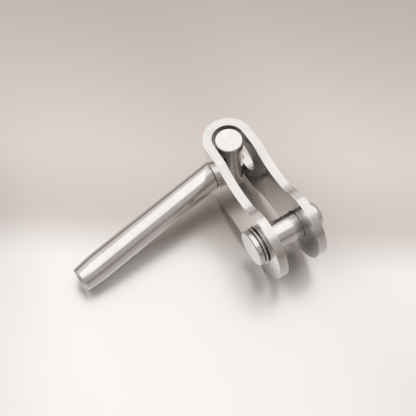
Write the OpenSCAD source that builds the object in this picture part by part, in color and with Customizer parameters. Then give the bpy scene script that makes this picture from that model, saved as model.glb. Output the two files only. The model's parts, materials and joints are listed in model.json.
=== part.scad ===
// Swage toggle terminal for 6 mm wire rope.
// A flat bar is bent to a U with an eye at the end of each leg. A crossbar lies in the bend, and
// the swage shank leaves it through a slot that runs round the bend, so the shank can swing from
// one leg to the other. A clevis pin closes the jaw, held by its head and by a split pin.
// Millimetres. Origin at the centre of the clevis pin, midway between the legs.
// +X runs from the bend out through the jaw, +Y along the pin to its tail, +Z across the strap.

/* [Strap] */
// Thickness of the flat bar
strap_t = 4; // [3:0.25:6]
// Width of the flat bar, at the bend and across each eye
strap_w = 32.8; // [31:0.2:38]
// Clear gap between the legs at the eyes
jaw_gap = 15; // [14:0.5:22]
// Distance from the centre of the bend to the clevis pin
bend_to_pin = 43.75; // [40:0.25:60]
// Distance from the clevis pin back to where the legs turn parallel
eye_land = 10; // [6:0.5:16]
// Width of the legs at their narrowest
waist_w = 24; // [21:0.5:27]
// Distance from the clevis pin back to the narrowest place
waist_to_pin = 17.3; // [16:0.1:19]
// Radius of the hollow along each edge of the legs
waist_arc_r = 36; // [30:0.5:42]

/* [Swing slot] */
// Gap between the shank and the slot's edge, above and below
slot_clear = 0.9; // [0.4:0.1:1.5]
// Swing of the shank each way, from in line with the strap to the slot's end
swing_limit = 102.5; // [90:0.5:106]
// Gap left between the shank and the slot's end at the limit
swing_stop_gap = 0.3; // [0.2:0.05:0.8]

/* [Crossbar] */
// Diameter of the crossbar
bar_d = 12.5; // [11:0.1:15]
// Distance of the crossbar's ends inside the strap's edges
bar_inset = 0.3; // [0:0.05:2]
// Gap between the crossbar and the inside of the bend
bar_clear = 1; // [0.4:0.05:1.5]
// Distance of the crossbar from the centre of the bend, toward the pin
bar_offset = 0.5; // [0:0.1:1]
// Chamfer at the crossbar's ends
bar_chamfer = 0.4; // [0.2:0.1:1]

/* [Shank] */
// Diameter of the shank
shank_d = 12.2; // [11:0.1:14]
// Distance from the crossbar's axis to the shank's free end
shank_len = 85.5; // [75:0.5:110]
// Diameter of the shank's free end
tip_d = 10.9; // [9:0.1:11]
// Length of the taper to the free end
tip_len = 8; // [4:0.5:14]
// Chamfer on the edges of the free end
tip_edge = 0.4; // [0.2:0.1:0.8]
// Diameter of the bore for the wire
wire_bore_d = 6.4; // [5:0.1:7]
// Depth of the bore for the wire, to the end of its round wall
wire_bore_depth = 55; // [30:1:65]
// Diameter of the spigot that is fixed in the crossbar
spigot_d = 8; // [6:0.25:9]
// Gap round the spigot in the crossbar
spigot_clear = 0.05; // [0.02:0.01:0.1]
// Depth of the flat on the crossbar that the shank's shoulder seats on
seat_depth = 1.25; // [0.8:0.05:2]
// Gap round the shank's shoulder in the seat
seat_clear = 0.2; // [0.1:0.05:0.4]

/* [Clevis pin] */
// Diameter of the clevis pin
pin_d = 12; // [10:0.1:14]
// Gap round the pin in the eyes
pin_clear = 0.45; // [0.1:0.05:0.6]
// Diameter of the head
head_d = 16; // [15.5:0.1:22]
// Thickness of the head
head_t = 2.45; // [1.5:0.05:5]
// Chamfer on the edges of the head
head_edge = 0.3; // [0.1:0.05:0.6]
// End float of the pin, seen between the strap and the washer
pin_float = 0.45; // [0.3:0.05:1]
// Gap between the washer and the head
head_gap = 0.25; // [0.1:0.05:0.5]
// Length of the tail beyond the strap
tail_len = 6.9; // [6:0.1:12]
// Radius of the tail's rounded end
tail_round = 2.6; // [1:0.1:3.5]

/* [Washer] */
// Outer diameter of the washer under the head
washer_od = 16.8; // [15.5:0.1:22]
// Thickness of the washer
washer_t = 0.9; // [0.6:0.1:2]
// Gap round the pin in the washer
washer_clear = 0.25; // [0.1:0.05:0.4]

/* [Split pin] */
// Diameter of the split pin's closed legs
split_d = 2.8; // [2:0.1:3.2]
// Gap round the split pin in its hole
split_clear = 0.2; // [0.1:0.05:0.3]
// Gap between the split pin and the strap
split_gap = 0.5; // [0.3:0.05:0.8]
// Slope of the split pin, its eye up and its tips down
split_angle = 30; // [0:5:90]
// Gap between the split pin's two legs
split_slit = 0.2; // [0.1:0.05:0.4]
// Outer diameter of the split pin's eye
split_eye_d = 6.2; // [5:0.1:8]
// Inner radius of the curve that opens each leg
split_bend_r = 3.5; // [2:0.1:6]
// Angle through which each leg is opened
split_open = 50; // [20:5:70]

/* [Pose] */
// Swing of the shank back from its limit on the side of the pin's head
swing_back = 0; // [0:0.5:180]

/* [Hidden] */
$fn = 96;
// Cutting tools run this far past the faces that they cut
over = 1;

// Strap: radii of the bend and half widths of the jaw, inside and out
bend_in = bar_d / 2 + bar_clear;
bend_out = bend_in + strap_t;
jaw_in = jaw_gap / 2;
jaw_out = jaw_in + strap_t;
pin_hole_d = pin_d + 2 * pin_clear;
// Each eye is rounded to the bar's full width
eye_d = strap_w;
// Angle about the bend's centre at which each leg leaves the bend to reach the jaw's width
leg_run = bend_to_pin - eye_land;
leave_a = atan2(jaw_in, leg_run) + acos(bend_in / norm([leg_run, jaw_in]));

// Crossbar and shank
bar_x = -bend_to_pin + bar_offset;
bar_len = strap_w - 2 * bar_inset;
seat_s = bar_d / 2 - seat_depth;
spigot_end = -bar_d / 2 + bar_chamfer;

// Swing slot: the shank leans past square by this angle at its limit, and the slot ends beyond it
past_square = swing_limit - 90;
slot_h = shank_d + 2 * slot_clear;
slot_end = bar_x + jaw_out * tan(past_square) + shank_d / 2 / cos(past_square) + swing_stop_gap;

// Clevis pin: places along Y
washer_y = -jaw_out - pin_float - washer_t;
head_under = washer_y - head_gap;
tail_end = jaw_out + tail_len;
split_hole_d = split_d + 2 * split_clear;
split_y = jaw_out + split_gap + split_d / 2;
// Each leg of the split pin runs straight for this far past the clevis pin's axis
split_reach = pin_d / 2 + 0.4;
split_wire_d = (split_d - split_slit) / 2;

// The bent bar: a round bend and two straight legs that spread a little to the jaw's width,
// then turn parallel at the eyes. Each half runs a little past the middle of the bend. It is
// drawn wide enough for the side outline to cut it.
module bent_bar(h) {
    heel = [-bend_to_pin, 0];
    leave = [cos(leave_a), sin(leave_a)];
    front = eye_d / 2 + over;
    for (side = [0, 1])
        mirror([0, side, 0]) {
            translate(heel)
                rotate([0, 0, leave_a])
                    rotate_extrude(angle = 95)
                        translate([bend_in, -h / 2])
                            square([strap_t, h]);
            linear_extrude(height = h, center = true)
                polygon([
                    heel + bend_in * leave, heel + bend_out * leave,
                    [-eye_land - strap_t * tan((leave_a - 90) / 2), jaw_out],
                    [front, jaw_out], [front, jaw_in], [-eye_land, jaw_in]
                ]);
        }
}

// The bar's outline from the side: full width at the bend, hollowed edges, a round eye
module strap_side() {
    back = bend_to_pin + bend_out + over;
    difference() {
        translate([-back, -strap_w / 2])
            square([back - eye_d / 6, strap_w]);
        for (side = [-1, 1])
            translate([-waist_to_pin, side * (waist_w / 2 + waist_arc_r)])
                circle(r = waist_arc_r);
    }
    circle(d = eye_d);
}

// The slot from the side: open round the bend, with a full round end in each leg
module slot_side() {
    centre = slot_end - slot_h / 2;
    run = bend_to_pin + bend_out + over + centre;
    translate([centre, 0])
        circle(d = slot_h);
    translate([centre - run, -slot_h / 2])
        square([run, slot_h]);
}

// Carries a side view through the strap, along Y
module through_y() {
    rotate([90, 0, 0])
        linear_extrude(height = 2 * (jaw_out + bend_out), center = true)
            children();
}

// A revolved piece, turned from Z to lie along X or Y
module along_x() {
    rotate([0, 90, 0])
        children();
}

module along_y() {
    rotate([-90, 0, 0])
        children();
}

// Frame of the shank: origin on the crossbar's axis, +X toward the free end
module shank_frame() {
    translate([bar_x, 0, 0])
        rotate([0, 0, 180 + swing_limit - swing_back])
            children();
}

module toggle_strap() {
    color("Silver")
        difference() {
            intersection() {
                bent_bar(strap_w + 2 * over);
                through_y()
                    strap_side();
            }
            through_y()
                slot_side();
            through_y()
                circle(d = pin_hole_d);
        }
}

// Round bar with chamfered ends, a flat seat for the shank's shoulder and a hole for its spigot
module crossbar() {
    r = bar_d / 2;
    z = bar_len / 2;
    color("Gainsboro")
        shank_frame()
            difference() {
                rotate_extrude()
                    polygon([
                        [0, -z], [r - bar_chamfer, -z], [r, -z + bar_chamfer],
                        [r, z - bar_chamfer], [r - bar_chamfer, z], [0, z]
                    ]);
                translate([seat_s, 0, 0])
                    along_x()
                        cylinder(d = shank_d + 2 * seat_clear, h = bar_d);
                along_x()
                    cylinder(d = spigot_d + 2 * spigot_clear, h = bar_d + 2 * over, center = true);
            }
}

// Turned shank: spigot, shoulder, straight body and tapered end, bored for the wire
module swage_shank() {
    r = shank_d / 2;
    tip_r = tip_d / 2;
    spigot_r = spigot_d / 2;
    bore_r = wire_bore_d / 2;
    bore_end = shank_len - wire_bore_depth;
    color("LightGray")
        shank_frame()
            along_x()
                rotate_extrude()
                    difference() {
                        polygon([
                            [0, spigot_end], [spigot_r, spigot_end], [spigot_r, seat_s],
                            [r - tip_edge, seat_s], [r, seat_s + tip_edge],
                            [r, shank_len - tip_len], [tip_r, shank_len - tip_edge],
                            [tip_r - tip_edge, shank_len], [0, shank_len]
                        ]);
                        // Bore with its drilled point and an eased mouth
                        polygon([
                            [0, bore_end - bore_r / tan(59)], [bore_r, bore_end],
                            [bore_r, shank_len - tip_edge], [bore_r + tip_edge, shank_len],
                            [bore_r + tip_edge, shank_len + over], [0, shank_len + over]
                        ]);
                    }
}

// Turned pin: flat head, straight body and a tail with a rounded end and a cross hole
module clevis_pin() {
    r = pin_d / 2;
    head_r = head_d / 2;
    head_top = head_under - head_t;
    color("WhiteSmoke")
        difference() {
            along_y()
                rotate_extrude() {
                    polygon([
                        [0, head_top], [head_r - head_edge, head_top], [head_r, head_top + head_edge],
                        [head_r, head_under - head_edge], [head_r - head_edge, head_under],
                        [r, head_under], [r, tail_end - tail_round], [0, tail_end - tail_round]
                    ]);
                    translate([0, tail_end - 2 * tail_round])
                        square([r - tail_round, 2 * tail_round]);
                    intersection() {
                        translate([r - tail_round, tail_end - tail_round])
                            circle(r = tail_round);
                        translate([0, tail_end - 2 * tail_round])
                            square([r, 2 * tail_round]);
                    }
                }
            translate([0, split_y, 0])
                rotate([0, split_angle, 0])
                    along_x()
                        cylinder(d = split_hole_d, h = pin_d + 2 * over, center = true);
        }
}

// Flat washer on the pin, between the head and the strap
module washer() {
    color("DarkGray")
        translate([0, washer_y, 0])
            along_y()
                difference() {
                    cylinder(d = washer_od, h = washer_t);
                    translate([0, 0, -over])
                        cylinder(d = pin_d + 2 * washer_clear, h = washer_t + 2 * over);
                }
}

// Section of one leg of the split pin: half a round, flat on the slit
module split_half() {
    intersection() {
        circle(d = split_d);
        translate([-split_d, split_slit / 2])
            square([2 * split_d, split_d]);
    }
}

// One leg: straight through the hole, then curved open to its tip
module split_leg() {
    axis_z = split_d / 2 + split_bend_r;
    start = -split_reach - split_eye_d / 4;
    translate([start, 0, 0])
        rotate([90, 0, 90])
            linear_extrude(height = split_reach - start)
                split_half();
    translate([split_reach, 0, axis_z])
        rotate([90, 0, 0])
            rotate([0, 0, -90])
                rotate_extrude(angle = split_open)
                    translate([axis_z, 0])
                        rotate([0, 0, 90])
                            split_half();
}

// Split pin: a looped eye and two half-round legs, opened past the clevis pin
module split_pin() {
    ring_r = split_eye_d / 2 - split_wire_d / 2;
    color("DimGray")
        translate([0, split_y, 0])
            rotate([0, split_angle, 0]) {
                translate([-split_reach - split_eye_d / 2, 0, 0])
                    rotate([90, 0, 0])
                        rotate_extrude()
                            translate([ring_r, 0])
                                circle(d = split_wire_d);
                split_leg();
                mirror([0, 0, 1])
                    split_leg();
            }
}

toggle_strap();
crossbar();
swage_shank();
clevis_pin();
washer();
split_pin();
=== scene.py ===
"""Swage toggle terminal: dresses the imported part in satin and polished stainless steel."""

import json
import logging
import math
from collections.abc import Callable, Iterable, Mapping
from dataclasses import dataclass, field
from enum import Enum
from typing import Any

import bmesh
import bpy
from mathutils import Matrix, Vector


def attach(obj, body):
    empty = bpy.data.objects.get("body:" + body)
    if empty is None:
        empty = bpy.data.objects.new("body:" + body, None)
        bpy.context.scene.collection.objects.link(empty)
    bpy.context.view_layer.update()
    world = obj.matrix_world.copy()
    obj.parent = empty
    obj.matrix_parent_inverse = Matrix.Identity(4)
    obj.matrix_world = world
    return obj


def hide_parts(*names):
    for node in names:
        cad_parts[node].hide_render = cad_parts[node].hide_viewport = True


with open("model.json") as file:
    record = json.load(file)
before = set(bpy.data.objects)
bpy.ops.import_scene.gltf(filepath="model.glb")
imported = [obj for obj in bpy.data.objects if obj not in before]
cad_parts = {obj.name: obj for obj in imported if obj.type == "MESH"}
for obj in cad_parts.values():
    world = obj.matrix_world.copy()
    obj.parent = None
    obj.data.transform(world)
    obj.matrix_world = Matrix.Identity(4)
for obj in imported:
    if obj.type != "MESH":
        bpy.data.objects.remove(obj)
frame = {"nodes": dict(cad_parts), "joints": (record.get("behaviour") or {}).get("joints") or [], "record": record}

LOG = logging.getLogger("toggle_terminal")
MM = 0.001
CUT_EDGE = "cut_edge"
MERGE = 1e-6
FLAT_WITHIN = 0.4
ALONG_Y = 0.99
Pair = tuple[float, float]
Triple = tuple[float, float, float]
Quad = tuple[float, float, float, float]
Colour = Quad
BLACK: Colour = (0.0, 0.0, 0.0, 1.0)


class Lay(Enum):
    """How the marks of grinding or drawing run over a round piece."""

    ROUND_AXIS = "in rings round the piece's axis"
    ALONG_AXIS = "along the piece's axis"


@dataclass(frozen=True)
class Axis:
    """A round piece's axis: a point on it and its direction."""

    origin: Vector
    along: Vector

    @property
    def turn(self) -> Matrix:
        """Rotation that carries +X onto the axis."""
        return Vector((1.0, 0.0, 0.0)).rotation_difference(self.along).to_matrix()

    def point(self, distance: float, radius: float) -> Vector:
        """Place at a distance along the axis and a radius from it."""
        return self.origin + self.turn @ Vector((distance, radius, 0.0))


class Sock:
    """A shader socket whose operators add Math nodes."""

    def __init__(self, graph: "Graph", socket: bpy.types.NodeSocket) -> None:
        """Keeps the graph and the socket."""
        self.graph = graph
        self.socket = socket

    def __add__(self, other: "Number") -> "Sock":
        """Sum."""
        return self.graph.math("ADD", self, other)

    def __radd__(self, other: "Number") -> "Sock":
        """Sum, the number first."""
        return self.graph.math("ADD", other, self)

    def __sub__(self, other: "Number") -> "Sock":
        """Difference."""
        return self.graph.math("SUBTRACT", self, other)

    def __rsub__(self, other: "Number") -> "Sock":
        """Difference, the number first."""
        return self.graph.math("SUBTRACT", other, self)

    def __mul__(self, other: "Number") -> "Sock":
        """Product."""
        return self.graph.math("MULTIPLY", self, other)

    def __rmul__(self, other: "Number") -> "Sock":
        """Product, the number first."""
        return self.graph.math("MULTIPLY", other, self)

    def __truediv__(self, other: "Number") -> "Sock":
        """Quotient."""
        return self.graph.math("DIVIDE", self, other)

    def __rtruediv__(self, other: "Number") -> "Sock":
        """Quotient, the number first."""
        return self.graph.math("DIVIDE", other, self)

    def __abs__(self) -> "Sock":
        """Size without the sign."""
        return self.graph.math("ABSOLUTE", self)

    def least(self, other: "Number") -> "Sock":
        """The smaller of the two."""
        return self.graph.math("MINIMUM", self, other)

    def most(self, other: "Number") -> "Sock":
        """The larger of the two."""
        return self.graph.math("MAXIMUM", self, other)

    def root(self) -> "Sock":
        """Square root."""
        return self.graph.math("SQRT", self)

    def step(self, low: float, high: float) -> "Sock":
        """Smooth step from 0 at low to 1 at high.

        Args:
            low: Value at which the step starts.
            high: Value at which the step ends.

        Returns:
            The stepped value.
        """
        links = {0: self, 1: low, 2: high, 3: 0.0, 4: 1.0}
        return self.graph.out("ShaderNodeMapRange", {"interpolation_type": "SMOOTHSTEP"}, links)


Number = Sock | float
Input = Sock | float | tuple[float, ...] | Vector


class Graph:
    """A node tree that is written as expressions."""

    def __init__(self, tree: bpy.types.NodeTree) -> None:
        """Clears the tree and keeps it."""
        tree.nodes.clear()
        self.tree = tree

    def node(
        self,
        kind: str,
        settings: Mapping[str, object] | None = None,
        links: Mapping[int | str, Input] | None = None,
    ) -> bpy.types.Node:
        """Adds one node.

        Args:
            kind: The node's type.
            settings: The node's own settings, which are set first.
            links: Values or sockets for its inputs, by name or number.

        Returns:
            The new node.
        """
        made = self.tree.nodes.new(kind)
        for key, value in (settings or {}).items():
            setattr(made, key, value)
        for key, value in (links or {}).items():
            if isinstance(value, Sock):
                self.tree.links.new(value.socket, made.inputs[key])
            else:
                made.inputs[key].default_value = value
        return made

    def out(
        self,
        kind: str,
        settings: Mapping[str, object] | None = None,
        links: Mapping[int | str, Input] | None = None,
        output: int | str = 0,
    ) -> Sock:
        """Adds one node and returns one of its outputs.

        Args:
            kind: The node's type.
            settings: The node's own settings.
            links: Values or sockets for its inputs.
            output: Name or number of the output.

        Returns:
            That output, ready for maths.
        """
        return Sock(self, self.node(kind, settings, links).outputs[output])

    def math(self, operation: str, *values: Number) -> Sock:
        """Adds a Math node on the values."""
        return self.out("ShaderNodeMath", {"operation": operation}, dict(enumerate(values)))

    def mix(self, share: Number, first: Input, second: Input) -> Sock:
        """Blends two colours by a share from 0 to 1.

        Args:
            share: 0 gives the first colour, 1 the second.
            first: A colour with alpha, or a socket.
            second: A colour with alpha, or a socket.

        Returns:
            The blended colour.
        """
        links = {0: share, 6: first, 7: second}
        return self.out("ShaderNodeMix", {"data_type": "RGBA"}, links, 2)

    def surface(self, links: Mapping[int | str, Input]) -> None:
        """Adds the shader with its values and joins it to the material's output."""
        shader = self.out("ShaderNodeBsdfPrincipled", None, links)
        self.node("ShaderNodeOutputMaterial", None, {"Surface": shader})

    def split(self, vector: Sock) -> tuple[Sock, Sock, Sock]:
        """The three parts of a vector."""
        made = self.node("ShaderNodeSeparateXYZ", None, {0: vector})
        return Sock(self, made.outputs[0]), Sock(self, made.outputs[1]), Sock(self, made.outputs[2])

    def join(self, x: Number, y: Number, z: Number) -> Sock:
        """A vector from three numbers."""
        return self.out("ShaderNodeCombineXYZ", None, {0: x, 1: y, 2: z})

    def noise(self, vector: Sock, scale: float, detail: float = 2.0, roughness: float = 0.5) -> Sock:
        """Noise from 0 to 1 at a number of patches per unit of the vector.

        Args:
            vector: Where the noise is read.
            scale: Patches per unit.
            detail: Octaves.
            roughness: Share of each finer octave.

        Returns:
            The noise's value.
        """
        links = {"Vector": vector, "Scale": scale, "Detail": detail, "Roughness": roughness}
        return self.out("ShaderNodeTexNoise", {"noise_dimensions": "3D"}, links)


def shaded(colour: Triple, factor: float) -> Colour:
    """A colour times a factor, held to white at most, with full alpha."""
    red, green, blue = (min(1.0, factor * part) for part in colour)
    return red, green, blue, 1.0


def begun(name: str) -> tuple[bpy.types.Material, Graph]:
    """Starts a material.

    Args:
        name: The material's name.

    Returns:
        The material and its empty graph.
    """
    made = bpy.data.materials.new(name)
    made.use_nodes = True
    return made, Graph(made.node_tree)


@dataclass(frozen=True)
class Steel:
    """A stainless steel finish, with the marks of the tool that made it.

    Lengths are in metres and counts of marks per metre. The shares say how much the marks, the broad
    clouds and the scuffs count in the tone and in the gloss.
    """

    name: str
    tint: Triple
    gloss: float
    gloss_swing: float
    marks: float
    run: float
    depth: float
    patches: float
    lay: Lay = Lay.ALONG_AXIS
    radius: float = 0.0
    darkest: float = 0.82
    lightest: float = 1.12
    fine_share: float = 0.65
    broad_scale: float = 0.31
    tone_shares: Pair = (1.2, 0.7)
    gloss_shares: Triple = (1.4, 0.8, 0.22)
    scuff_scale: float = 5.0
    scuff_ends: Pair = (0.60, 0.74)
    least_rough: float = 0.05
    least_radius: float = 0.05 * MM

    def _marks_vector(self, graph: Graph, place: Sock) -> Sock:
        """Coordinates that run fast across the marks and slowly along them.

        Args:
            graph: The material's graph.
            place: The place on the piece, its axis along X.

        Returns:
            The vector on which the marks' noise is read.
        """
        x, y, z = graph.split(place)
        if self.lay is Lay.ALONG_AXIS:
            return graph.join(x * self.run, y * self.marks, z * self.marks)
        radius = (y * y + z * z).root().most(self.least_radius)
        turns = self.run * self.radius
        return graph.join((x + radius) * self.marks, y / radius * turns, z / radius * turns)

    def _dulled_and_shaded_colour(self, graph: Graph, place: Sock, colour: Sock) -> Sock:
        """The colour with dull cut edges and painted shade, neither of which a round piece has."""
        return colour

    def _worn_gloss(self, graph: Graph, place: Sock) -> Number:
        """The roughness under the marks, the same all over a round piece."""
        return self.gloss

    def material(self, axis: Axis | None = None) -> bpy.types.Material:
        """Makes the material.

        Args:
            axis: Axis of a round piece, or None for the strap.

        Returns:
            The finished material.
        """
        made, graph = begun(self.name)
        place = graph.out("ShaderNodeTexCoord", None, None, "Object")
        if axis is not None:
            turn = axis.turn.to_euler()
            links = {"Vector": place, "Location": axis.origin, "Rotation": turn}
            place = graph.out("ShaderNodeMapping", {"vector_type": "TEXTURE"}, links)
        vector = self._marks_vector(graph, place)
        fine = graph.noise(vector, scale=1.0, detail=3.0, roughness=0.6)
        broad = graph.noise(vector, scale=self.broad_scale, detail=1.0)
        cloud = graph.noise(place, scale=self.patches, detail=3.0, roughness=0.55)
        scuff = graph.noise(place, scale=self.patches * self.scuff_scale).step(*self.scuff_ends)
        mark = fine * self.fine_share + broad * (1.0 - self.fine_share)
        by_mark, by_cloud = self.tone_shares
        tone = (mark - 0.5) * by_mark + (cloud - 0.5) * by_cloud + 0.5
        dark, light = shaded(self.tint, self.darkest), shaded(self.tint, self.lightest)
        colour = self._dulled_and_shaded_colour(graph, place, graph.mix(tone, dark, light))
        by_mark, by_cloud, by_scuff = self.gloss_shares
        swing = (mark - 0.5) * by_mark + (cloud - 0.5) * by_cloud + scuff * by_scuff
        rough = (swing * self.gloss_swing + self._worn_gloss(graph, place)).most(self.least_rough)
        links = {"Strength": 1.0, "Distance": self.depth, "Height": mark}
        bump = graph.out("ShaderNodeBump", None, links)
        graph.surface({"Base Color": colour, "Roughness": rough, "Metallic": 1.0, "Normal": bump})
        return made


@dataclass(frozen=True)
class BarSteel(Steel):
    """The strap's steel, ground along the bar, duller on its cut edges and matt in places inside.

    It is rougher deep in the bend and beside the pin, and there its colour is darkened as painted shade.
    """

    bend_x: float = 0.0
    bend_r: float = 0.0
    edge_gloss: float = 0.0
    edge_dull: float = 0.0
    inner_gloss: float = 0.0
    # Painted shade: how far the colour is darkened on the inner side.
    inner_painted_shade: float = 0.0
    inner_band: float = 1.0 * MM
    bend_ends: Pair = (0.0, 0.0)
    beside_pin_ends: Pair = (0.0, 0.0)
    beside_pin_reach: Pair = (0.0, 0.0)

    def _cut_edge(self, graph: Graph) -> Sock:
        """How far a place on the bar is a cut edge, from 0 on its two flats to 1."""
        return graph.out("ShaderNodeAttribute", {"attribute_name": CUT_EDGE}, None, "Fac")

    def _bend_depth(self, graph: Graph, place: Sock) -> Sock:
        """Distance from the plane midway between the legs, or behind it from the bend's axis.

        Args:
            graph: The material's graph.
            place: The place on the strap.

        Returns:
            The distance, in metres.
        """
        x, y, _ = graph.split(place)
        back = (x - self.bend_x).least(0.0)
        return (back * back + y * y).root()

    def _matt_and_painted_shade(self, graph: Graph, place: Sock) -> Sock:
        """How far a place is one of the matt places on the inner side.

        Args:
            graph: The material's graph.
            place: The place on the strap.

        Returns:
            0 on the outer side, on cut edges and along the legs, and 1 where the steel is matt and its colour
            carries painted shade.
        """
        x, _, z = graph.split(place)
        # Painted shade: the inner side is darkened deep in the bend and in a ring beside the pin, where the
        # roughness is also raised.
        inner = 1.0 - self._bend_depth(graph, place).step(self.bend_r - self.inner_band, self.bend_r)
        deep = 1.0 - x.step(*self.bend_ends)
        beside_pin = x.step(*self.beside_pin_ends) * (1.0 - (x * x + z * z).root().step(*self.beside_pin_reach))
        return inner * (deep + beside_pin) * (1.0 - self._cut_edge(graph))

    def _marks_vector(self, graph: Graph, place: Sock) -> Sock:
        """Coordinates that run slowly along the bar and round its bend, and fast across it.

        Args:
            graph: The material's graph.
            place: The place on the strap.

        Returns:
            The vector on which the marks' noise is read.
        """
        x, y, z = graph.split(place)
        ahead = x - self.bend_x
        round_bend = graph.math("ARCTAN2", ahead.least(0.0), abs(y)) * self.bend_r
        along = ahead.most(0.0) + round_bend
        up = self._cut_edge(graph) * (self.run - self.marks) + self.marks
        depth = self._bend_depth(graph, place)
        return graph.join(along * self.run, depth * self.marks, z * up)

    def _dulled_and_shaded_colour(self, graph: Graph, place: Sock, colour: Sock) -> Sock:
        """The colour, darker on cut edges, with painted shade deep in the bend and beside the pin."""
        # Painted shade on the inner side, added to the real dulling of the cut edges.
        dull_edges_and_painted_shade = self._cut_edge(graph) * self.edge_dull + self._matt_and_painted_shade(graph, place) * self.inner_painted_shade
        return graph.mix(dull_edges_and_painted_shade, colour, BLACK)

    def _worn_gloss(self, graph: Graph, place: Sock) -> Number:
        """The roughness under the marks, higher on cut edges and on the matt places.

        Args:
            graph: The material's graph.
            place: The place on the strap.

        Returns:
            The roughness.
        """
        edge = self._cut_edge(graph) * (self.edge_gloss - self.gloss)
        matt = self._matt_and_painted_shade(graph, place) * (self.inner_gloss - self.gloss)
        return edge + self.gloss + matt


def joint(name: str) -> Mapping[str, Any]:
    """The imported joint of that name."""
    return next(j for j in frame["joints"] if j["name"] == name)


def copied(node: str) -> bmesh.types.BMesh:
    """Copies a CAD node's mesh and merges it into flat faces.

    Args:
        node: The CAD node's name.

    Returns:
        The copy.
    """
    shape = bmesh.new()
    shape.from_mesh(frame["nodes"][node].data)
    bmesh.ops.remove_doubles(shape, verts=shape.verts, dist=MERGE)
    bmesh.ops.dissolve_limit(
        shape, angle_limit=math.radians(FLAT_WITHIN), verts=shape.verts, edges=shape.edges
    )
    return shape


def eased(
    shape: bmesh.types.BMesh, edge: float, sharp: float, segments: int = 3,
    where: Callable[[Vector], bool] = lambda middle: True,
) -> None:
    """Rounds a shape's sharp edges.

    The clamp keeps rounded edges from overlapping, and lowers the radius over the whole shape where a
    very short edge lies beside a sharp one.

    Args:
        shape: The shape to change.
        edge: Radius wanted, in mm.
        sharp: Angle in degrees past which an edge counts as sharp.
        segments: Faces across each rounded edge.
        where: Test on an edge's middle, in mm, that picks the edges.
    """
    limit = math.radians(sharp)
    corners = [
        e for e in shape.edges
        if e.is_manifold and e.calc_face_angle() > limit
        and where((e.verts[0].co + e.verts[1].co) * 0.5 / MM)
    ]
    bmesh.ops.bevel(
        shape, geom=corners, offset=edge * MM, offset_type="OFFSET", segments=segments,
        profile=0.5, affect="EDGES", clamp_overlap=True, material=-1,
    )


def cross_edges(shape: bmesh.types.BMesh) -> dict[bmesh.types.BMEdge, Vector]:
    """Edges that run across the bar's thickness, along Y.

    Args:
        shape: The strap's copy.

    Returns:
        Each such edge with its middle, in mm.
    """
    return {
        e: (e.verts[0].co + e.verts[1].co) * 0.5 / MM for e in shape.edges
        if e.is_manifold and abs((e.verts[0].co - e.verts[1].co).normalized().y) > ALONG_Y
    }


def turned(axis: Axis, profile: Iterable[Pair], steps: int) -> bmesh.types.BMesh:
    """Spins a profile into a turned shape.

    Args:
        axis: The axis of the turning.
        profile: Distances along the axis and radii, in mm, in order round the section.
        steps: Number of faces round the axis.

    Returns:
        The closed shape.
    """
    shape = bmesh.new()
    points = [shape.verts.new(axis.point(s * MM, r * MM)) for s, r in profile]
    lines = [shape.edges.new(pair) for pair in zip(points, points[1:])]
    bmesh.ops.spin(
        shape, geom=points + lines, cent=axis.origin, axis=axis.along,
        angle=math.tau, steps=steps, use_merge=True,
    )
    bmesh.ops.remove_doubles(shape, verts=shape.verts, dist=MERGE)
    bmesh.ops.recalc_face_normals(shape, faces=shape.faces)
    return shape


def placed(
    shape: bmesh.types.BMesh, name: str, body: str, node: str, look: bpy.types.Material
) -> bpy.types.Object:
    """Turns a shape into a piece that stands for a CAD node.

    Args:
        shape: The finished shape, which is freed.
        name: The piece's name.
        body: The CAD body that it rides on.
        node: The CAD node that it replaces.
        look: Its material.

    Returns:
        The new object.
    """
    mesh = bpy.data.meshes.new(name)
    shape.to_mesh(mesh)
    shape.free()
    mesh.materials.append(look)
    mesh.shade_smooth()
    piece = bpy.data.objects.new(name, mesh)
    bpy.context.scene.collection.objects.link(piece)
    weighted = piece.modifiers.new("even_normals", "WEIGHTED_NORMAL")
    weighted.keep_sharp = False
    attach(piece, body)
    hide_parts(node)
    LOG.info("%s: %d faces, on %s", name, len(mesh.polygons), body)
    return piece


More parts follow.
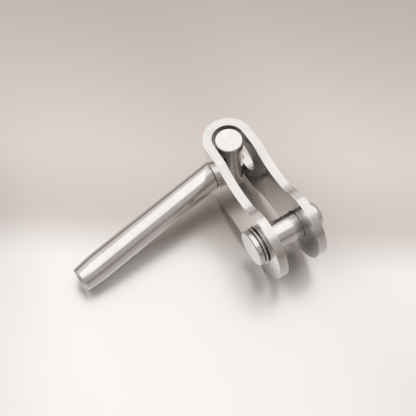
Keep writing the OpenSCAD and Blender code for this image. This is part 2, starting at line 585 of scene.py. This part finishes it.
@dataclass
class Strap:
    """The bent flat bar with its slot and eyes. Sizes in mm, angles in degrees."""

    edge: float = 0.35
    sharp: float = 40.0
    hole_edge: float = 0.12
    hole_steps: int = 2
    hole_reach: float = 7.0
    corner: float = 2.6
    corner_steps: int = 6
    corner_sharp: float = 20.0
    corner_z: float = 11.0
    corner_flat: float = 0.8
    outline_sharp: float = 57.0
    eye_from: float = -17.0
    eye_blend: float = 8.0
    eye_short: float = 0.7
    blend_cuts: int = 2
    blend_passes: int = 70
    blend_pull: float = 0.5
    bend_x: float = -43.75
    bend_r: float = 9.25
    leg_band: float = 1.0
    cut_from: float = 0.75
    cut_band: float = 0.4

    def dress(self) -> bpy.types.Material:
        """The satin finish, ground along the bar.

        Returns:
            The strap's material.
        """
        return BarSteel(
            name="satin_strap_steel", tint=(0.85, 0.825, 0.805), gloss=0.14, gloss_swing=0.12,
            marks=1700.0, run=70.0, depth=0.8e-5, patches=130.0,
            bend_x=self.bend_x * MM, bend_r=self.bend_r * MM,
            # The inner darkening is painted shade, deep in the bend and beside the pin.
            edge_gloss=0.22, edge_dull=0.08, inner_gloss=0.40, inner_painted_shade=0.42,
            bend_ends=(-34.0 * MM, -21.0 * MM),
            beside_pin_ends=(-7.0 * MM, 4.0 * MM), beside_pin_reach=(10.0 * MM, 16.0 * MM),
        ).material()

    def _on_outline(self, middle: Vector) -> bool:
        """Whether a place is where a leg's outline has its corners."""
        on_leg = abs(abs(middle.y) - self.bend_r) < self.leg_band
        return middle.x > self.bend_x and on_leg and abs(middle.z) > self.corner_z

    def _at_corner(self, middle: Vector) -> bool:
        """Whether a place is at a corner where a leg starts to narrow."""
        return self._on_outline(middle) and middle.x < self.eye_from

    def _at_eye(self, middle: Vector) -> bool:
        """Whether a place is at a corner where a hollow meets an eye."""
        return self._on_outline(middle) and middle.x > self.eye_from

    def _at_hole(self, middle: Vector) -> bool:
        """Whether a place is on the rim of a pin hole."""
        return math.hypot(middle.x, middle.z) < self.hole_reach

    def _merge_beside(
        self, shape: bmesh.types.BMesh, where: Callable[[Vector], bool], reach: float
    ) -> list[Vector]:
        """Finds corners of the outline and merges the short facets beside them.

        Args:
            shape: The strap's copy.
            where: Test on an edge's middle, in mm, that picks the corners.
            reach: Distance from a corner within which facets are merged, in mm.

        Returns:
            The corners' middles, in mm.
        """
        rims = cross_edges(shape)
        limit = math.radians(self.corner_sharp)
        corners = {e: at for e, at in rims.items() if e.calc_face_angle() > limit and where(at)}
        beside = [
            e for e, at in rims.items()
            if e not in corners and any((at - corner).length < reach for corner in corners.values())
        ]
        bmesh.ops.dissolve_edges(shape, edges=beside, use_verts=True)
        return list(corners.values())

    def _round_corners(self, shape: bmesh.types.BMesh) -> None:
        """Rounds the corners where the legs start to narrow.

        Args:
            shape: The strap's copy.
        """
        self._merge_beside(shape, self._at_corner, self.corner + self.corner_flat)
        eased(shape, self.corner, self.corner_sharp, self.corner_steps, self._at_corner)

    def _blend_eyes(self, shape: bmesh.types.BMesh) -> None:
        """Blends each hollow into the eye, along the outline on both sides of their corner.

        Args:
            shape: The strap's copy.
        """
        corners = self._merge_beside(shape, self._at_eye, self.eye_short)
        limit = math.radians(self.outline_sharp)

        def reached(point: bmesh.types.BMVert) -> bool:
            """Whether a point is near one of the corners, seen along Y."""
            at = point.co / MM
            return any(math.hypot(at.x - c.x, at.z - c.z) < self.eye_blend for c in corners)

        def along(edge: bmesh.types.BMEdge) -> bool:
            """Whether an edge runs along the outline."""
            return edge.is_manifold and edge.calc_face_angle() > limit

        lines = [e for e in shape.edges if along(e) and all(reached(v) for v in e.verts)]
        bmesh.ops.subdivide_edges(shape, edges=lines, cuts=self.blend_cuts, use_grid_fill=True)
        sides = {
            v: [e.other_vert(v) for e in v.link_edges if along(e)] for v in shape.verts if reached(v)
        }
        chain = {v: pair for v, pair in sides.items() if len(pair) == 2}
        for _ in range(self.blend_passes):
            places = {v: (a.co + b.co) * 0.5 for v, (a, b) in chain.items()}
            for point, place in places.items():
                place.y = point.co.y
                point.co = point.co.lerp(place, self.blend_pull)

    def _mark_cut_edges(self, shape: bmesh.types.BMesh) -> None:
        """Writes on each face how far it is a cut edge, from 0 on the bar's two flats to 1.

        Args:
            shape: The strap's finished shape.
        """
        layer = shape.loops.layers.float.new(CUT_EDGE)
        for face in shape.faces:
            across, along, _ = face.normal
            bent = face.calc_center_median().x < self.bend_x * MM
            flat = along * along + (across * across if bent else 0.0)
            share = max(0.0, min(1.0, (self.cut_from - flat) / self.cut_band))
            for corner in face.loops:
                corner[layer] = share

    def build(self) -> bpy.types.Object:
        """Makes the strap's piece.

        Returns:
            The new object.
        """
        shape = copied("toggle_strap")
        self._round_corners(shape)
        self._blend_eyes(shape)
        eased(shape, self.hole_edge, self.sharp, self.hole_steps, self._at_hole)
        eased(shape, self.edge, self.sharp, where=lambda middle: not self._at_hole(middle))
        shape.normal_update()
        self._mark_cut_edges(shape)
        return placed(shape, "strap_bent_bar", "strap", "toggle_strap", self.dress())


@dataclass
class Terminal:
    """The crossbar and the swage shank that is fixed in it. Sizes in mm, angles in degrees."""

    sharp: float = 25.0
    bar_edge: float = 0.15
    bar_r: float = 6.25
    shank_edge: float = 0.15
    shank_r: float = 6.1
    shank_len: float = 85.5
    tip_r: float = 5.45
    tip_len: float = 8.0
    tip_edge: float = 0.4
    seat_s: float = 5.0
    spigot_r: float = 4.0
    spigot_end: float = -5.85
    bore_r: float = 3.2
    bore_depth: float = 55.0
    bore_point: float = 1.92
    steps: int = 160
    bar_axis: Axis = field(init=False)
    shank_axis: Axis = field(init=False)

    def __post_init__(self) -> None:
        """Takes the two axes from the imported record."""
        bore = next(m for m in frame["record"]["mounts"] if m["name"] == "wire_bore")
        origin = Vector(joint("shank_swing")["pos_m"])
        self.bar_axis = Axis(origin, Vector((0.0, 0.0, 1.0)))
        self.shank_axis = Axis(origin, Vector(bore["axis"]).normalized())

    def _shank_profile(self) -> list[Pair]:
        """Section of the shank, from the spigot round to the bore's point.

        Returns:
            Distances along the shank and radii, in mm.
        """
        end, edge = self.shank_len, self.tip_edge
        floor = end - self.bore_depth
        return [
            (self.spigot_end, 0.0), (self.spigot_end, self.spigot_r), (self.seat_s, self.spigot_r),
            (self.seat_s, self.shank_r - edge), (self.seat_s + edge, self.shank_r),
            (end - self.tip_len, self.shank_r), (end - edge, self.tip_r), (end, self.tip_r - edge),
            (end, self.bore_r + edge), (end - edge, self.bore_r), (floor, self.bore_r),
            (floor - self.bore_point, 0.0),
        ]

    def dress_bar(self) -> bpy.types.Material:
        """The crossbar's ground finish.

        Returns:
            The crossbar's material.
        """
        return Steel(
            name="ground_crossbar_steel", tint=(0.82, 0.80, 0.78), gloss=0.14, gloss_swing=0.10,
            marks=2600.0, run=400.0, depth=0.4e-5, patches=150.0,
            lay=Lay.ROUND_AXIS, radius=self.bar_r * MM,
        ).material(self.bar_axis)

    def dress_shank(self) -> bpy.types.Material:
        """The shank's polish, drawn along it.

        Returns:
            The shank's material.
        """
        return Steel(
            name="polished_shank_steel", tint=(0.83, 0.81, 0.80), gloss=0.13, gloss_swing=0.10,
            marks=1500.0, run=40.0, depth=0.7e-5, patches=110.0,
        ).material(self.shank_axis)

    def build(self) -> list[bpy.types.Object]:
        """Makes the crossbar and the shank.

        Returns:
            The two new objects.
        """
        bar = copied("crossbar")
        eased(bar, self.bar_edge, self.sharp)
        shank = turned(self.shank_axis, self._shank_profile(), self.steps)
        eased(shank, self.shank_edge, self.sharp)
        return [
            placed(bar, "crossbar_round", "terminal", "crossbar", self.dress_bar()),
            placed(shank, "shank_swaged", "terminal", "swage_shank", self.dress_shank()),
        ]


@dataclass
class PinSet:
    """The clevis pin with its washer and split pin. Sizes in mm, angles in degrees."""

    pin_edge: float = 0.12
    pin_sharp: float = 25.0
    wire_edge: float = 0.08
    wire_sharp: float = 50.0
    wire_at: Triple = (0.0, 13.4, 0.0)
    wire_along: Triple = (0.8660254, 0.0, -0.5)
    washer_in: float = 6.25
    washer_out: float = 8.4
    washer_low: float = -12.85
    washer_high: float = -11.95
    washer_edge: float = 0.2
    washer_sharp: float = 40.0
    washer_marks_r: float = 8.0
    steps: int = 144
    axis: Axis = field(init=False)

    def __post_init__(self) -> None:
        """Takes the pin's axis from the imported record."""
        hinge = joint("pin_turn")
        self.axis = Axis(Vector(hinge["pos_m"]), Vector(hinge["axis"]))

    def dress_pin(self) -> bpy.types.Material:
        """The pin's polish, drawn along it.

        Returns:
            The pin's material.
        """
        return Steel(
            name="polished_pin_steel", tint=(0.81, 0.795, 0.785), gloss=0.12, gloss_swing=0.10,
            marks=1800.0, run=60.0, depth=0.6e-5, patches=170.0,
        ).material(self.axis)

    def dress_washer(self) -> bpy.types.Material:
        """The washer's stamped finish.

        Returns:
            The washer's material.
        """
        return Steel(
            name="stamped_washer_steel", tint=(0.78, 0.765, 0.75), gloss=0.26, gloss_swing=0.16,
            marks=2200.0, run=300.0, depth=1.0e-5, patches=260.0,
            lay=Lay.ROUND_AXIS, radius=self.washer_marks_r * MM,
        ).material(self.axis)

    def dress_split_pin(self) -> bpy.types.Material:
        """The split pin's drawn wire.

        Returns:
            The split pin's material.
        """
        return Steel(
            name="drawn_split_pin_wire", tint=(0.74, 0.73, 0.72), gloss=0.24, gloss_swing=0.16,
            marks=3000.0, run=300.0, depth=0.8e-5, patches=320.0,
        ).material(Axis(Vector(self.wire_at) * MM, Vector(self.wire_along)))

    def build(self) -> list[bpy.types.Object]:
        """Makes the pin, the washer and the split pin.

        Returns:
            The three new objects.
        """
        low, high = self.washer_low, self.washer_high
        inner, outer = self.washer_in, self.washer_out
        ring = [(low, inner), (low, outer), (high, outer), (high, inner), (low, inner)]
        washer = turned(self.axis, ring, self.steps)
        eased(washer, self.washer_edge, self.washer_sharp)
        pin = copied("clevis_pin")
        eased(pin, self.pin_edge, self.pin_sharp)
        wire = copied("split_pin")
        eased(wire, self.wire_edge, self.wire_sharp)
        wire_look = self.dress_split_pin()
        return [
            placed(pin, "clevis_pin_turned", "pin", "clevis_pin", self.dress_pin()),
            placed(washer, "washer_ring", "pin", "washer", self.dress_washer()),
            placed(wire, "split_pin_wire", "pin", "split_pin", wire_look),
        ]


@dataclass
class Studio:
    """The pale floor, the soft light and the camera. Lengths in mm."""

    floor_z: float = -16.4
    floor_size: float = 6000.0
    fine_from: int = -400
    fine_to: int = 100
    fine_step: int = 5
    lean: float = 0.15
    lean_from: float = -11.5
    lean_ends: Quad = (60.0, 10.0, -85.0, -100.0)
    crest_drop: float = 250.0
    # The floor's colours paint the light falling off: white in front, a darker band, then grey behind.
    white: Triple = (0.845, 0.829, 0.822)
    painted_grey: Triple = (0.71, 0.65, 0.615)
    shade_falloff_along: Pair = (-0.85, 0.526)
    shade_falloff_ends: Quad = (-12.0, 15.0, 55.0, 190.0)
    painted_band_shade: float = 0.87
    painted_far_shade: float = 0.84
    floor_gloss: float = 0.32
    floor_metal: float = 0.76
    lamp_colour: Triple = (1.0, 0.985, 0.965)
    lamp_aim: Triple = (-20.0, -20.0, 0.0)
    lamp_away: float = 600.0
    overhead: Triple = (-0.16, 0.20, 0.97)
    overhead_size: float = 720.0
    overhead_watts: float = 0.66
    key_from: Triple = (-0.36, -0.34, 0.87)
    key_size: float = 300.0
    key_watts: float = 2.3
    room_low: Triple = (0.25, 0.212, 0.188)
    room_left: Triple = (0.76, 0.725, 0.705)
    room_right: Triple = (0.46, 0.43, 0.41)
    room_high: Triple = (0.74, 0.73, 0.72)
    rise_left: Pair = (0.26, 0.60)
    rise_right: Pair = (-0.15, 0.50)
    rise_high: Pair = (0.66, 0.90)
    lens: float = 56.4
    sensor: float = 36.0
    clip: Pair = (10.0, 20000.0)
    camera_at: Triple = (100.585, -82.408, 248.089)
    camera_right: Triple = (0.5037, 0.8627, -0.0447)
    camera_up: Triple = (-0.7398, 0.4575, 0.4934)

    def floor_material(self) -> bpy.types.Material:
        """A pale sheet whose colour is painted from white in front to warm grey behind: a painted falloff of
        light.

        Returns:
            The floor's material.
        """
        made, graph = begun("pale_floor")
        x, y, _ = graph.split(graph.out("ShaderNodeTexCoord", None, None, "Object"))
        # Painted light falloff: the colour goes from white in front through a darker band to grey behind.
        along = x * self.shade_falloff_along[0] + y * self.shade_falloff_along[1]
        front, band, back, far = (MM * end for end in self.shade_falloff_ends)
        band_shade, grey_shade = shaded(self.painted_grey, self.painted_band_shade), shaded(self.painted_grey, 1.0)
        colour = graph.mix(along.step(front, band), shaded(self.white, 1.0), band_shade)
        colour = graph.mix(along.step(band, back), colour, grey_shade)
        colour = graph.mix(along.step(back, far), colour, shaded(self.painted_grey, self.painted_far_shade))
        gloss, metal = self.floor_gloss, self.floor_metal
        graph.surface({"Base Color": colour, "Roughness": gloss, "Metallic": metal})
        return made

    def floor_height(self, y: float) -> float:
        """Height of the sheet, which rises under the shank as the part leans on it.

        Args:
            y: Place across the sheet, in mm.

        Returns:
            The height, in mm.
        """
        low, start, end, crest = self.lean_ends
        rise = max(end, min(start, y))
        height = self.floor_z + self.lean * (self.lean_from - rise)
        if y > start:
            past = min(y, low) - start
            height -= self.lean * (past - past * past / (2.0 * (low - start)))
        if y < end:
            past = end - max(y, crest)
            height += self.lean * (past - past * past / (2.0 * (end - crest)))
        if y < crest:
            drop = min(1.0, (crest - y) / self.crest_drop)
            height += (self.floor_z - height) * drop * drop * (3.0 - 2.0 * drop)
        return height

    def build_floor(self) -> bpy.types.Object:
        """Lays the sheet under the strap and the shank's tip.

        Returns:
            The floor's object.
        """
        half = self.floor_size / 2
        fine = range(self.fine_from, self.fine_to + 1, self.fine_step)
        places = [-half, *(float(y) for y in fine), half]
        shape = bmesh.new()
        row = [shape.verts.new(Vector((-half, y, self.floor_height(y))) * MM) for y in places]
        lines = [shape.edges.new(pair) for pair in zip(row, row[1:])]
        made = bmesh.ops.extrude_edge_only(shape, edges=lines)["geom"]
        moved = [v for v in made if isinstance(v, bmesh.types.BMVert)]
        bmesh.ops.translate(shape, verts=moved, vec=Vector((self.floor_size * MM, 0.0, 0.0)))
        bmesh.ops.recalc_face_normals(shape, faces=shape.faces)
        mesh = bpy.data.meshes.new("floor")
        shape.to_mesh(mesh)
        shape.free()
        mesh.shade_smooth()
        mesh.materials.append(self.floor_material())
        floor = bpy.data.objects.new("floor", mesh)
        bpy.context.scene.collection.objects.link(floor)
        return floor

    def build_lamp(self, name: str, toward: Triple, size: float, watts: float) -> bpy.types.Object:
        """Hangs one softbox that faces the part.

        Args:
            name: The lamp's name.
            toward: Direction of the lamp from the part.
            size: Its width and height, in mm.
            watts: Its power.

        Returns:
            The lamp's object.
        """
        lamp = bpy.data.lights.new(name, "AREA")
        lamp.shape = "SQUARE"
        lamp.size = size * MM
        lamp.energy = watts
        lamp.color = self.lamp_colour
        held = bpy.data.objects.new(name, lamp)
        bpy.context.scene.collection.objects.link(held)
        way = Vector(toward).normalized()
        held.location = (Vector(self.lamp_aim) + way * self.lamp_away) * MM
        held.rotation_euler = way.to_track_quat("Z", "Y").to_euler()
        return held

    def build_world(self) -> None:
        """Lights the room, brightest round the overhead softbox and dimmer toward the horizon."""
        world = bpy.data.worlds.new("studio_room")
        bpy.context.scene.world = world
        world.use_nodes = True
        graph = Graph(world.node_tree)
        way = graph.out("ShaderNodeTexCoord", None, None, "Generated")
        links = {0: way, 1: Vector(self.overhead).normalized()}
        near = graph.out("ShaderNodeVectorMath", {"operation": "DOT_PRODUCT"}, links, "Value")
        x, _, _ = graph.split(way)
        left = (0.5 - x * 0.5).step(0.0, 1.0)
        mid = graph.mix(left, shaded(self.room_right, 1.0), shaded(self.room_left, 1.0))
        rise = near.step(*self.rise_left) * left + near.step(*self.rise_right) * (1.0 - left)
        low = graph.mix(rise, shaded(self.room_low, 1.0), mid)
        colour = graph.mix(near.step(*self.rise_high), low, shaded(self.room_high, 1.0))
        shader = graph.out("ShaderNodeBackground", None, {"Color": colour, "Strength": 1.0})
        graph.node("ShaderNodeOutputWorld", None, {"Surface": shader})

    def build_camera(self) -> None:
        """Sets the camera at the photograph's viewing angle."""
        data = bpy.data.cameras.new("camera")
        data.lens = self.lens
        data.sensor_width = self.sensor
        data.clip_start, data.clip_end = (MM * end for end in self.clip)
        right, up = Vector(self.camera_right).normalized(), Vector(self.camera_up)
        up = (up - right * up.dot(right)).normalized()
        turn = Matrix((right, up, right.cross(up))).transposed().to_4x4()
        camera = bpy.data.objects.new("camera", data)
        bpy.context.scene.collection.objects.link(camera)
        camera.matrix_world = Matrix.Translation(Vector(self.camera_at) * MM) @ turn
        bpy.context.scene.camera = camera

    def build(self) -> None:
        """Sets up the camera, floor, lamps and room."""
        bpy.context.scene.view_settings.view_transform = "Standard"
        self.build_camera()
        self.build_floor()
        self.build_lamp("softbox_over", self.overhead, self.overhead_size, self.overhead_watts)
        key = self.build_lamp("key_front", self.key_from, self.key_size, self.key_watts)
        key.visible_glossy = False
        self.build_world()


def main() -> None:
    """Builds the studio and the pieces."""
    logging.basicConfig(level=logging.INFO, format="%(name)s: %(message)s")
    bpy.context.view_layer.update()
    Studio().build()
    Strap().build()
    Terminal().build()
    PinSet().build()


if __name__ == "__main__":
    main()
